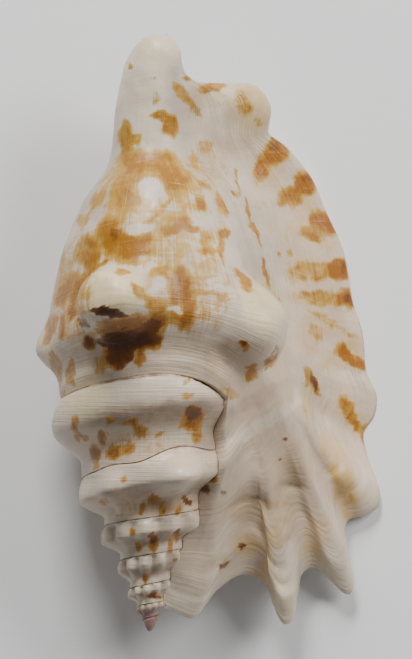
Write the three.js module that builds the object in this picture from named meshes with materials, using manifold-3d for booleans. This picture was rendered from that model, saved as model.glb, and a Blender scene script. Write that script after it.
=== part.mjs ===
// Laciniate conch shell, lying on its aperture with the back up.
// Millimetres. X to the outer lip, Y from the apex to the siphonal canal, Z up.
// The shell coils about an axis parallel to Y. Turns are counted from the top of the back (turn 0),
// upwards to the lip and downwards to the apex, clockwise seen from the apex.
import * as THREE from 'three';
import { ParametricGeometry } from 'three/addons/geometries/ParametricGeometry.js';
import { mergeGeometries, mergeVertices } from 'three/addons/utils/BufferGeometryUtils.js';
import Module from 'manifold-3d';

const shellLength = 115;
const axisHeight = 19;
const restHeight = 0.2;             // the callus is worn flat at this height, level with the lip

// Shoulder of the whorls: [turn, radius] and [turn, distance from the apex].
const shoulderRadius = [
	[-8, 0], [-7.25, 1.2], [-6.25, 2.4], [-5.25, 3.8], [-4.25, 5.65], [-3.25, 8.75],
	[-2.25, 13.2], [-1.25, 17.7], [-0.5, 19.4], [-0.25, 20.3], [0, 21.3], [0.2, 22]
];
const shoulderY = [
	[-8, 0], [-7.25, 1.7], [-6.25, 4], [-5.25, 7], [-4.25, 11.9], [-3.25, 17.7],
	[-2.25, 25.4], [-2, 29.2], [-1.75, 32], [-1.25, 38.9], [-1, 43.8], [-0.75, 46.2],
	[-0.5, 49.5], [-0.25, 54.3], [-0.05, 61.3], [0.05, 62], [0.2, 58]
];
const sutureAhead = 0.27;           // suture in front of the shoulder it lies on, as a share of its radius
const sutureTuck = 0.985;           // radius of a suture as a share of the shoulder under it
const bodySutureY = [
	[-0.75, 34.5], [-0.5, 39.6], [-0.25, 43.7], [-0.12, 46.9], [0, 49.2], [0.06, 49], [0.1, 47.6], [0.14, 44.5]
];
const sutureClimb = 2;              // how far the suture climbs up the earlier whorl before the wing
const climbFromTurn = 0.05;
const sutureSink = 0.7;             // how far the last whorl's edge lies under the earlier whorl's surface
const seamTuck = 3;                 // how deep the wing's edge reaches into the earlier whorls

// Level: 0 at the suture, 1 at the canal tip.
const shoulderLevel = 0.49;
const rampSpan = [0.3, 0.95];       // part of the way from suture to shoulder in which a whorl flares
const spireRampSpan = [0.45, 0.95];

// Body whorl from the shoulder (0) to the tip of the canal (1): radius as a share of the shoulder's.
const bodyTaper = [
	[0, 1], [0.09, 0.96], [0.2, 0.9], [0.31, 0.823], [0.38, 0.741], [0.47, 0.62], [0.535, 0.475], [0.6, 0.385],
	[0.68, 0.35], [0.78, 0.34], [0.845, 0.325], [0.89, 0.305], [0.94, 0.258], [0.978, 0.18], [1, 0.1]
];
const levelSpacing = [[0, 0], [0.65, 0.68], [0.85, 0.88], [0.95, 0.975], [1, 1]];
const canalBend = { from: 85, length: 30, side: 2, up: 5 };

// The wall of the last whorl goes on into the wing of the outer lip.
const wallStartTurn = -0.56;
const wingTurn = 50 / 360;
const wingShare = 0.7;              // share of the wall's length before the wing
const wallThickness = 2.8;
const rimShare = 0.1;               // share of the wing over which its rim is rounded

// Edge of the outer lip, from the apex round the four fingers and the notch to the canal.
const lipEdge = [
	[1.8, 5, 21], [6.9, 2.5, 16.5], [8.9, 1.9, 15.2], [10.1, 2.5, 14.5], [11.8, 4.7, 13.5], [13.8, 7.2, 12.6],
	[18.7, 10.4, 10.6], [22.7, 8, 9.2], [23.7, 4.4, 8.7], [26.2, 0.8, 8], [28, 1.5, 7.7], [29.2, 5.5, 7.7],
	[30, 10.4, 7.7], [31.7, 11.8, 7.2], [33.3, 11.1, 6.6], [37.3, 7.2, 4.8], [39.2, 6.5, 4.2], [40.2, 8.4, 4],
	[39.8, 12.8, 4.2], [38.7, 19.3, 4.6], [39.4, 21.2, 4.4], [42.6, 21.9, 3], [45.1, 23.8, 2.2], [45.2, 27.5, 2],
	[42.6, 34, 2], [41.8, 38, 2.1], [43.9, 41.3, 1.6], [44.3, 45.3, 1.4], [42.4, 50.2, 1.6], [41.6, 57.5, 1.6],
	[39.8, 63.2, 2], [37.9, 73.5, 2.8], [34.5, 81.1, 3.9], [32.1, 86.8, 5], [29.2, 90.8, 6.2], [26.4, 93.7, 7.6],
	[23.3, 96, 9], [23.1, 97.8, 9.5], [23.7, 101.5, 9.8], [22.2, 104.4, 10.4], [19.6, 106, 11.6],
	[14.4, 106.1, 14.5], [9.2, 106.3, 17], [6.6, 107.1, 18.8], [5, 109.5, 20.5], [5.6, 112, 21.8],
	[4.9, 113.8, 23], [3.6, 114.8, 24]
];
// Direction in which the lip has grown at a level: [level, x, y, z].
const lipGrowth = [
	[0, -0.38, -0.9, -0.19], [0.046, -0.29, -0.94, -0.2], [0.115, -0.06, -0.95, -0.28], [0.18, 0.1, -0.97, -0.2],
	[0.245, 0.22, -0.94, -0.25], [0.293, 0.32, -0.91, -0.26], [0.367, 0.5, -0.78, -0.35], [0.41, 0.72, -0.6, -0.35],
	[0.48, 0.95, -0.3, -0.15], [0.56, 1, -0.15, -0.16], [0.65, 1, -0.05, -0.2], [0.75, 1, 0.1, -0.25],
	[0.82, 1, 0.2, -0.4], [0.845, 1, 0.1, -0.7], [0.88, 0.7, 0.6, -0.8], [0.93, 0.1, 0.8, -0.8],
	[0.965, 0.7, 0.3, -0.7], [1, 0.5, 0.6, -0.5]
];
const sutureGrowth = [-0.1, -0.9, -0.45];    // direction in which the wall leaves the coil at the suture
const sutureGrowthLevel = 0.35;              // it turns to the coil's own direction up to this level
// How far the wing follows the coil's direction at its start and the lip's at its end: [level, length].
const coilReach = [[0, 8], [0.2, 9], [0.5, 10], [0.8, 8], [0.93, 4], [1, 1]];
const lipReach = [[0, 22], [0.2, 26], [0.4, 21], [0.5, 19], [0.65, 15], [0.8, 12], [0.93, 5], [1, 1]];
// Fingers (1) and the gaps between them (-1).
const fingers = [
	[0, 0], [0.046, 1], [0.115, -1], [0.18, 1], [0.245, -1], [0.293, 1], [0.367, -1], [0.41, 1], [0.481, -0.6],
	[0.53, 0], [1, 0]
];
const fingerReach = 4;              // by how much the lip's reach is longer in the fingers
const fingerRise = 0.7;
const fingerFrom = 0.8;             // share of the wall's length at which the fingers start to rise

// Knobs and swellings of the last whorl: foot, direction, height, how far they reach, how steep their sides are.
const knobs = [
	{ foot: [-8, 63.8, 38.8], towards: [-0.5, 0.05, 0.87], height: 9, reach: 7.8, swell: 0.35 },
	{ foot: [-2, 65.5, 40.6], towards: [-0.3, 0.05, 0.95], height: 3, reach: 8, swell: 0 },
	{ foot: [19, 59.5, 28.5], towards: [0.9, -0.3, 0.3], height: 7, reach: 11, swell: 0.25 },
	{ foot: [14, 65, 33], towards: [0.7, -0.1, 0.7], height: 2.5, reach: 12, swell: 0 },
	{ foot: [-20, 54.6, 19], towards: [-1, 0, 0.1], height: 1.6, reach: 6, swell: 0 },
	{ foot: [-14, 52, 4.5], towards: [-0.7, 0, -0.7], height: 1.6, reach: 6, swell: 0 },
	{ foot: [15.5, 101, 17], towards: [0.2, 0.1, 1], height: 3, reach: 13, swell: 0 }
];

// Nodules on the earlier whorls: [turn, how many up to it] and [turn, height].
const noduleCount = [[-7.5, 0], [-2.5, 60], [-1.75, 66.75], [-0.5, 75.5]];
const noduleHeight = [
	[-7, 0], [-6.25, 0.3], [-5.25, 0.5], [-4.25, 0.7], [-3.25, 0.9], [-2.25, 1.3], [-1.25, 1.4], [-0.5, 1.4]
];
const firstTurn = -7.5;
const lastTurn = -0.5;
const spireCore = new THREE.Vector3(0, 48, axisHeight);

// The columella: [distance from the apex, radius]. On the underside it swells to the wall of the aperture.
const columellaRadius = [
	[30, 0], [33, 4], [40, 7], [46, 9.5], [52, 9.3], [62, 7.6], [75, 6], [85, 5], [95, 4], [105, 3.3], [112, 2.4],
	[114, 1.6], [114.4, 0]
];
const columellaEnds = [30, 114.4];
const callusThickness = 0.7;
const callusDepth = 1.4;            // how deep the callus ends under the last whorl's surface
const callusFade = 4;               // and how deep it ends under the spire's

const smooth = THREE.MathUtils.smoothstep;
const mix = THREE.MathUtils.lerp;
const clamp = THREE.MathUtils.clamp;
const vector = coordinates => new THREE.Vector3(...coordinates);

// Value of a table at x, on a smooth curve through its points.
function alongTable(table, x) {
	const last = table.length - 1;
	if (x <= table[0][0]) return table[0][1];
	if (x >= table[last][0]) return table[last][1];
	const i = table.findIndex(row => row[0] > x) - 1;
	const slope = k => {
		const before = table[Math.max(k - 1, 0)];
		const after = table[Math.min(k + 1, last)];
		return (after[1] - before[1]) / (after[0] - before[0]);
	};
	const [x0, y0] = table[i];
	const [x1, y1] = table[i + 1];
	const width = x1 - x0;
	const t = (x - x0) / width;
	const rise = t * t * (3 - 2 * t);
	return mix(y0, y1, rise) + width * t * (1 - t) * (slope(i) * (1 - t) - slope(i + 1) * t);
}

// Centre of the coil: the axis, which bends at the canal.
function coilCentre(y) {
	const bend = Math.max(0, (y - canalBend.from) / canalBend.length) ** 2;
	return [canalBend.side * bend, axisHeight + canalBend.up * bend];
}

function onCoil(turn, radius, y, target) {
	const [centreX, centreZ] = coilCentre(y);
	const angle = turn * 2 * Math.PI;
	return target.set(centreX + radius * Math.sin(angle), y, centreZ + radius * Math.cos(angle));
}

// Radius and distance from the apex of the suture under a turn of the spire.
function regularSuture(turn) {
	const under = alongTable(shoulderRadius, turn - 1);
	return [under * sutureTuck, alongTable(shoulderY, turn - 1) + sutureAhead * under];
}

// Radius of the body whorl's outside at a turn and a distance from the apex.
function bodyRadius(turn, y) {
	const shoulder = alongTable(shoulderRadius, turn);
	const shoulderAt = alongTable(shoulderY, turn);
	if (y < shoulderAt) {
		const sutureAt = alongTable(bodySutureY, turn);
		const start = regularSuture(turn)[0] + sutureClimb * smooth(turn, climbFromTurn, wingTurn);
		return mix(start, shoulder, smooth((y - sutureAt) / (shoulderAt - sutureAt), ...rampSpan));
	}
	const share = (y - shoulderAt) / (shellLength - shoulderAt);
	const trunk = alongTable(shoulderRadius, -0.25);
	return alongTable(bodyTaper, share) * mix(shoulder, trunk, smooth(share, 0.3, 0.65));
}

function bodyPoint(turn, level, target) {
	const shoulderAt = alongTable(shoulderY, turn);
	const share = alongTable(levelSpacing, (level - shoulderLevel) / (1 - shoulderLevel));
	const y = level < shoulderLevel
		? mix(alongTable(bodySutureY, turn), shoulderAt, level / shoulderLevel)
		: mix(shoulderAt, shellLength, share);
	return onCoil(turn, bodyRadius(turn, y) - sutureSink * (1 - smooth(level, 0, 0.12)), y, target);
}

// The lip's edge as one table for each axis, by the share of its length.
const reached = [0];
for (let i = 1; i < lipEdge.length; i++) {
	reached.push(reached[i - 1] + vector(lipEdge[i]).distanceTo(vector(lipEdge[i - 1])));
}
const lipLevels = reached.map(length => length / reached[reached.length - 1]);
const lipTables = [0, 1, 2].map(axis => lipEdge.map((point, i) => [lipLevels[i], point[axis]]));
const growthTables = [1, 2, 3].map(column => lipGrowth.map(row => [row[0], row[column]]));
const fromTables = (tables, level) => vector(tables.map(table => alongTable(table, level)));

// The wing: it leaves the coil in the coil's direction and meets the lip's edge in the lip's.
function wingPoint(share, level, target) {
	const start = bodyPoint(wingTurn, level, new THREE.Vector3());
	const angle = wingTurn * 2 * Math.PI;
	const atSuture = 1 - smooth(level, 0, sutureGrowthLevel);
	const leave = new THREE.Vector3(Math.cos(angle), 0, -Math.sin(angle)).lerp(vector(sutureGrowth), atSuture);
	const edge = fromTables(lipTables, level);
	const back = alongTable(lipReach, level) + fingerReach * alongTable(fingers, level);
	const towardsLip = start.clone().addScaledVector(leave, alongTable(coilReach, level));
	const beforeLip = edge.clone().addScaledVector(fromTables(growthTables, level).normalize(), -back);
	const curve = new THREE.CubicBezierCurve3(start, towardsLip, beforeLip, edge);
	curve.getPoint(share, target);
	const tucked = seamTuck * (1 - smooth(level, 0, 0.03)) * smooth(share, 0, 0.3) * (1 - smooth(share, 0.8, 1));
	const inwards = new THREE.Vector3(-target.x, 0, axisHeight - target.z).normalize();
	return target.addScaledVector(inwards, tucked);
}

// The last whorl and the wing. Along: 0 under the callus, 1 at the lip's edge.
function wallSurface(along, level, target) {
	if (along < wingShare) return bodyPoint(mix(wallStartTurn, wingTurn, along / wingShare), level, target);
	return wingPoint((along - wingShare) / (1 - wingShare), level, target);
}

function wallNormal(along, level) {
	const alongStep = 0.01;
	const levelStep = 0.02;
	const a = clamp(along, alongStep, 1 - alongStep);
	const l = clamp(level, levelStep, 1 - levelStep);
	const at = (x, y) => wallSurface(x, y, new THREE.Vector3());
	const onwards = at(a + alongStep, l).sub(at(a - alongStep, l));
	const across = at(a, l + levelStep).sub(at(a, l - levelStep));
	return onwards.cross(across).normalize();
}

function fingerHeight(along, level) {
	return fingerRise * Math.sin(Math.PI / 2 * alongTable(fingers, level)) * smooth(along, fingerFrom, 1);
}

function withKnobs(point) {
	const base = point.clone();
	for (const knob of knobs) {
		const out = base.clone().sub(vector(knob.foot));
		const near = Math.min(1, out.length() / knob.reach);
		const towards = vector(knob.towards).normalize();
		point.addScaledVector(towards, knob.height * (1 - near * near) ** 2);
		out.addScaledVector(towards, -out.dot(towards));
		point.addScaledVector(out, knob.swell * 4 * (1 - near) ** 2);
	}
	return point;
}

// The wall with both its sides: 1 outside, -1 inside. They meet at its edges.
function wallPoint(along, side, level, target) {
	const share = (along - wingShare) / (1 - wingShare);
	const toRim = Math.min(1, (1 - share) / rimShare);
	const toEnds = Math.min(1, along / 0.05, level / 0.02, (1 - level) / 0.03);
	const fullness = Math.sqrt(1 - (1 - toRim) ** 2) * Math.sqrt(1 - (1 - toEnds) ** 2);
	const base = wallSurface(along, level, new THREE.Vector3());
	const [centreX, centreZ] = coilCentre(base.y);
	const thickness = Math.min(wallThickness, 0.6 * Math.hypot(base.x - centreX, base.z - centreZ));
	const inside = base.clone().addScaledVector(wallNormal(along, level), -thickness);
	const rise = fingerHeight(along, level);
	inside.z += rise / 2;
	target.copy(base);
	target.z += rise;
	withKnobs(target).lerp(inside, (1 - side * fullness) / 2);
	target.z = Math.max(target.z, restHeight);
	return target;
}

// Suture on which a turn of the spire starts. The body whorl covers the last one.
function spireSuture(turn) {
	if (turn <= firstTurn + 1) return [0, 0];
	const covered = smooth(turn, lastTurn, lastTurn + 0.15);
	const [radius, y] = regularSuture(Math.min(turn, lastTurn));
	return [
		mix(radius, regularSuture(turn)[0] * 0.93, covered),
		mix(y, alongTable(bodySutureY, turn) + 3.2, covered)
	];
}

// Section of a whorl of the spire: 0 at its suture, 1 at its shoulder, 2 at the next suture.
function spirePoint(turn, across, target) {
	const [r0, y0] = spireSuture(turn);
	const [r1, y1] = spireSuture(turn + 1);
	const grown = smooth(turn, firstTurn, firstTurn + 0.4);
	const radius = Math.max(alongTable(shoulderRadius, turn) * grown, r0);
	const y = clamp(alongTable(shoulderY, turn), y0, y1);
	const nodule = Math.cos(2 * Math.PI * alongTable(noduleCount, turn)) * alongTable(noduleHeight, turn) / 2;
	const swell = nodule * (1 - smooth(Math.abs(across - 1), 0.1, 0.7));
	if (across < 1) {
		return onCoil(turn, mix(r0, radius, smooth(across, ...spireRampSpan)) + swell, mix(y0, y, across), target);
	}
	return onCoil(turn, mix(radius, r1, (across - 1) ** 2) + swell, mix(y, y1, across - 1), target);
}

// Columella, the wall the aperture lies against, and its callus. Angle: 0 on the back, 180 underneath.
function corePoint(angle, y, target) {
	const turn = angle / 360;
	const underneath = smooth(angle, 95, 140) * (1 - smooth(angle, 255, 300));
	const callus = mix(callusThickness, -callusDepth, smooth(angle, 195, 235));
	const onSpire = callusFade * (1 - smooth(y, 31, 38));
	const ends = smooth(y, 30.5, 33) * (1 - smooth(y, 110, 114));
	const inner = alongTable(columellaRadius, y);
	onCoil(turn, mix(inner, bodyRadius(turn - 1, y) + callus - onSpire, underneath * ends), y, target);
	target.z = Math.max(target.z, restHeight);
	return target;
}

// Lines of the wall from edge to edge, close together on the back.
const ventralTurn = -0.2;
const ventralLines = 8;
const backLines = 12;
const wingLines = [0, 0.1, 0.2, 0.3, 0.42, 0.54, 0.66, 0.78, 0.9, 0.97];
const spread = (from, to, count) => Array.from({ length: count }, (_, i) => mix(from, to, i / count));
const backFrom = (ventralTurn - wallStartTurn) / (wingTurn - wallStartTurn) * wingShare;
const wallLines = [
	...spread(0, backFrom, ventralLines),
	...spread(backFrom, wingShare, backLines),
	...wingLines.map(share => mix(wingShare, 1, share))
];
const bothSides = [
	...wallLines.map(along => [along, 1]),
	[1, 1],
	...wallLines.toReversed().map(along => [along, -1])
];
// One row of the wall runs to each point of the lip's edge, and more rows below the shoulder carry the knobs.
const knobRows = 4;
const shoulderRow = lipLevels.findIndex(level => level > shoulderLevel);
const wallRows = lipLevels.flatMap((level, i) => {
	const close = i >= shoulderRow && i < shoulderRow + knobRows;
	return close ? [(lipLevels[i - 1] + level) / 2, level] : [level];
});

const spireLines = 32;              // in a turn
const spireSection = [0, 0.5, 0.72, 0.92, 1.35, 2];
const coreLines = 24;
const coreRows = 24;

// A surface through points that are picked by their place in a grid.
function gridSurface(columns, rows, pointAt) {
	const pick = (u, v, target) => pointAt(Math.round(u * columns), Math.round(v * rows), target);
	return new ParametricGeometry(pick, columns, rows);
}

const wallGeometry = gridSurface(bothSides.length - 1, wallRows.length - 1, (column, row, target) => {
	const [along, side] = bothSides[column];
	return wallPoint(along, side, wallRows[row], target);
});

const sectionRows = spireSection.length - 1;
const spireColumns = (lastTurn - firstTurn) * spireLines;
const spireBands = gridSurface(spireColumns, sectionRows, (column, row, target) => {
	return spirePoint(firstTurn + column / spireLines, spireSection[row], target);
});

// The spire's hidden end: round its last suture, back along its last section, all joined to one point inside.
const spireEnd = gridSurface(spireLines + sectionRows, 1, (column, row, target) => {
	if (row) return target.copy(spireCore);
	if (column > spireLines) {
		return spirePoint(lastTurn, spireSection[sectionRows - (column - spireLines)], target);
	}
	const turn = lastTurn + column / spireLines;
	return onCoil(turn, ...spireSuture(turn), target);
});

const coreGeometry = gridSurface(coreLines, coreRows, (column, row, target) => {
	return corePoint(column / coreLines * 360, mix(...columellaEnds, row / coreRows), target);
});

const wasm = await Module();
wasm.setup();

// Closed solid from a surface whose edges meet.
function solidOf(geometry) {
	geometry.deleteAttribute('normal');
	geometry.deleteAttribute('uv');
	const merged = mergeVertices(geometry, 1e-4);
	const corners = merged.index.array;
	const position = merged.attributes.position;
	const kept = [];
	let volume = 0;
	for (let i = 0; i < corners.length; i += 3) {
		const [a, b, c] = corners.slice(i, i + 3);
		if (a === b || b === c || c === a) continue;
		kept.push(a, b, c);
		const [p, q, r] = [a, b, c].map(corner => new THREE.Vector3().fromBufferAttribute(position, corner));
		volume += p.dot(q.cross(r));
	}
	if (volume < 0) kept.reverse();
	return new wasm.Manifold(new wasm.Mesh({
		numProp: 3, vertProperties: position.array, triVerts: new Uint32Array(kept)
	}));
}

function geometryOf(solid) {
	const mesh = solid.getMesh();
	return new THREE.BufferGeometry()
		.setAttribute('position', new THREE.BufferAttribute(mesh.vertProperties, 3))
		.setIndex(new THREE.BufferAttribute(mesh.triVerts, 1));
}

const spire = solidOf(mergeGeometries([spireBands, spireEnd]));
const wall = solidOf(wallGeometry);
const core = solidOf(coreGeometry);
const geometry = geometryOf(spire.add(wall).add(core));

// The origin lies in the middle of the shell's footprint.
geometry.computeBoundingBox();
const box = geometry.boundingBox;
geometry.translate(-(box.min.x + box.max.x) / 2, -(box.min.y + box.max.y) / 2, -box.min.z);

const porcelain = new THREE.MeshStandardMaterial({ color: 0xe6d8c4, roughness: 0.35, metalness: 0 });
const shell = new THREE.Mesh(geometry, porcelain);
shell.name = 'shell';

const part = new THREE.Group();
part.add(shell);
export default part;
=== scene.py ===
# Laciniate conch shell on a pale table, seen from above
import math
from bisect import bisect
from functools import cache, lru_cache
import bmesh
import bpy
import numpy as np
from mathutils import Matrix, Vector, noise


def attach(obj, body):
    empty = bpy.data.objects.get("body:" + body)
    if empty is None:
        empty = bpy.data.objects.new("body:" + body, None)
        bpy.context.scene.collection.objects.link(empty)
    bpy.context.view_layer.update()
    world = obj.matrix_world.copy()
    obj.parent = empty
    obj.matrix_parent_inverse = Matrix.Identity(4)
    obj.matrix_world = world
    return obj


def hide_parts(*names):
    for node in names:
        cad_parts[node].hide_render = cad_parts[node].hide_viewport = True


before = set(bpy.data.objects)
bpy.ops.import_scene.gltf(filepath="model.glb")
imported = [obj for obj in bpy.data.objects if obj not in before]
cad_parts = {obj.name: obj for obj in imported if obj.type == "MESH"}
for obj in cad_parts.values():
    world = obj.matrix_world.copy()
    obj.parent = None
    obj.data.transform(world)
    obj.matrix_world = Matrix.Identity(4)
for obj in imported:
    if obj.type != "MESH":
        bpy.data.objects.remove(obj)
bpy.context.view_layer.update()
scene = bpy.context.scene
mm = 0.001
noise.seed_set(5)               # noise_vector would differ from run to run

# the shell is worked out in mm from its apex, and moved onto the frame at the end
apexAt = Vector((-11.335, -57.449, -0.2))


def clamp(x, low=0.0, high=1.0):
    return max(low, min(high, x))


def mix(a, b, t):
    return a + (b - a) * t


def smooth(x, low, high):
    t = clamp((x - low) / (high - low))
    return t * t * (3 - 2 * t)


# value on a smooth curve through some points
def curveThrough(points):
    last = len(points) - 1
    keys = [p[0] for p in points]

    def slope(k):
        before, after = points[max(k - 1, 0)], points[min(k + 1, last)]
        return (after[1] - before[1]) / (after[0] - before[0])

    @cache
    def at(x):
        if x <= keys[0]:
            return points[0][1]
        if x >= keys[last]:
            return points[last][1]
        i = bisect(keys, x) - 1
        width = keys[i + 1] - keys[i]
        t = (x - keys[i]) / width
        rise = mix(points[i][1], points[i + 1][1], t * t * (3 - 2 * t))
        return rise + width * t * (1 - t) * (slope(i) * (1 - t) - slope(i + 1) * t)

    return at


# the coil: turns are counted from the top of the back, upwards to the lip
coil = {
    "length": 115,
    "axisHeight": 19,
    "restHeight": 0.2,
    "shoulderRadius": curveThrough([
        (-8, 0), (-7.25, 1.2), (-6.25, 2.4), (-5.25, 3.8), (-4.25, 5.65), (-3.25, 8.75), (-2.25, 13.2),
        (-1.25, 17.7), (-0.5, 19.4), (-0.25, 20.3), (0, 21.3), (0.2, 22)]),
    "shoulderY": curveThrough([
        (-8, 0), (-7.25, 1.7), (-6.25, 4), (-5.25, 7), (-4.25, 11.9), (-3.25, 17.7), (-2.25, 25.4),
        (-2, 29.2), (-1.75, 32), (-1.25, 38.9), (-1, 43.8), (-0.75, 46.2), (-0.5, 49.5), (-0.25, 54.3),
        (-0.05, 61.3), (0.05, 62), (0.2, 58)]),
    "sutureY": curveThrough([
        (-0.75, 34.5), (-0.5, 39.6), (-0.25, 43.7), (-0.12, 46.9), (0, 49.2), (0.06, 49), (0.1, 47.6),
        (0.14, 44.5)]),
    "sutureAhead": 0.27,        # how far it lies past the shoulder before it, in radii
    "sutureTuck": 0.985,        # its radius, in radii of that shoulder
    "sutureClimb": 2,           # how much it rises on the way to the wing
    "climbTurn": 0.05,
    "sutureSink": 0.7,
    "sinkLevel": 0.12,
    "rampSpan": (0.3, 0.95),
    "taper": curveThrough([
        (0, 1), (0.09, 0.96), (0.2, 0.9), (0.31, 0.823), (0.38, 0.741), (0.47, 0.62), (0.535, 0.475),
        (0.6, 0.385), (0.68, 0.35), (0.78, 0.34), (0.845, 0.325), (0.89, 0.305), (0.94, 0.258),
        (0.978, 0.18), (1, 0.1)]),
    "levelSpacing": curveThrough([(0, 0), (0.65, 0.68), (0.85, 0.88), (0.95, 0.975), (1, 1)]),
    "shoulderLevel": 0.49,
    "trunkTurn": -0.25,         # in front every turn gets the radius of this one
    "trunkSpan": (0.3, 0.65),
    "bendFrom": 85,
    "bendLength": 30,
    "bendSide": 2,
    "bendUp": 5,
}
trunkRadius = coil["shoulderRadius"](coil["trunkTurn"])


def coilCentre(y):
    bend = max(0.0, (y - coil["bendFrom"]) / coil["bendLength"]) ** 2
    return coil["bendSide"] * bend, coil["axisHeight"] + coil["bendUp"] * bend


def onCoil(turn, radius, y):
    centreX, centreZ = coilCentre(y)
    angle = turn * math.tau
    return Vector((centreX + radius * math.sin(angle), y, centreZ + radius * math.cos(angle)))


@cache
def regularSuture(turn):
    under = coil["shoulderRadius"](turn - 1)
    return under * coil["sutureTuck"], coil["shoulderY"](turn - 1) + coil["sutureAhead"] * under


def bodyRadius(turn, y):
    shoulder = coil["shoulderRadius"](turn)
    shoulderAt = coil["shoulderY"](turn)
    if y < shoulderAt:
        sutureAt = coil["sutureY"](turn)
        climb = coil["sutureClimb"] * smooth(turn, coil["climbTurn"], wall["wingTurn"])
        onRamp = (y - sutureAt) / (shoulderAt - sutureAt)
        return mix(regularSuture(turn)[0] + climb, shoulder, smooth(onRamp, *coil["rampSpan"]))
    share = (y - shoulderAt) / (coil["length"] - shoulderAt)
    return coil["taper"](share) * mix(shoulder, trunkRadius, smooth(share, *coil["trunkSpan"]))


# levels run from the suture at 0 over the shoulder to the canal's end at 1
@lru_cache(maxsize=400000)
def bodyPoint(turn, level):
    shoulderAt = coil["shoulderY"](turn)
    shoulderLevel = coil["shoulderLevel"]
    if level < shoulderLevel:
        y = mix(coil["sutureY"](turn), shoulderAt, level / shoulderLevel)
    else:
        beyond = (level - shoulderLevel) / (1 - shoulderLevel)
        y = mix(shoulderAt, coil["length"], coil["levelSpacing"](beyond))
    sunk = coil["sutureSink"] * (1 - smooth(level, 0, coil["sinkLevel"]))
    return onCoil(turn, bodyRadius(turn, y) - sunk, y)


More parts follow.
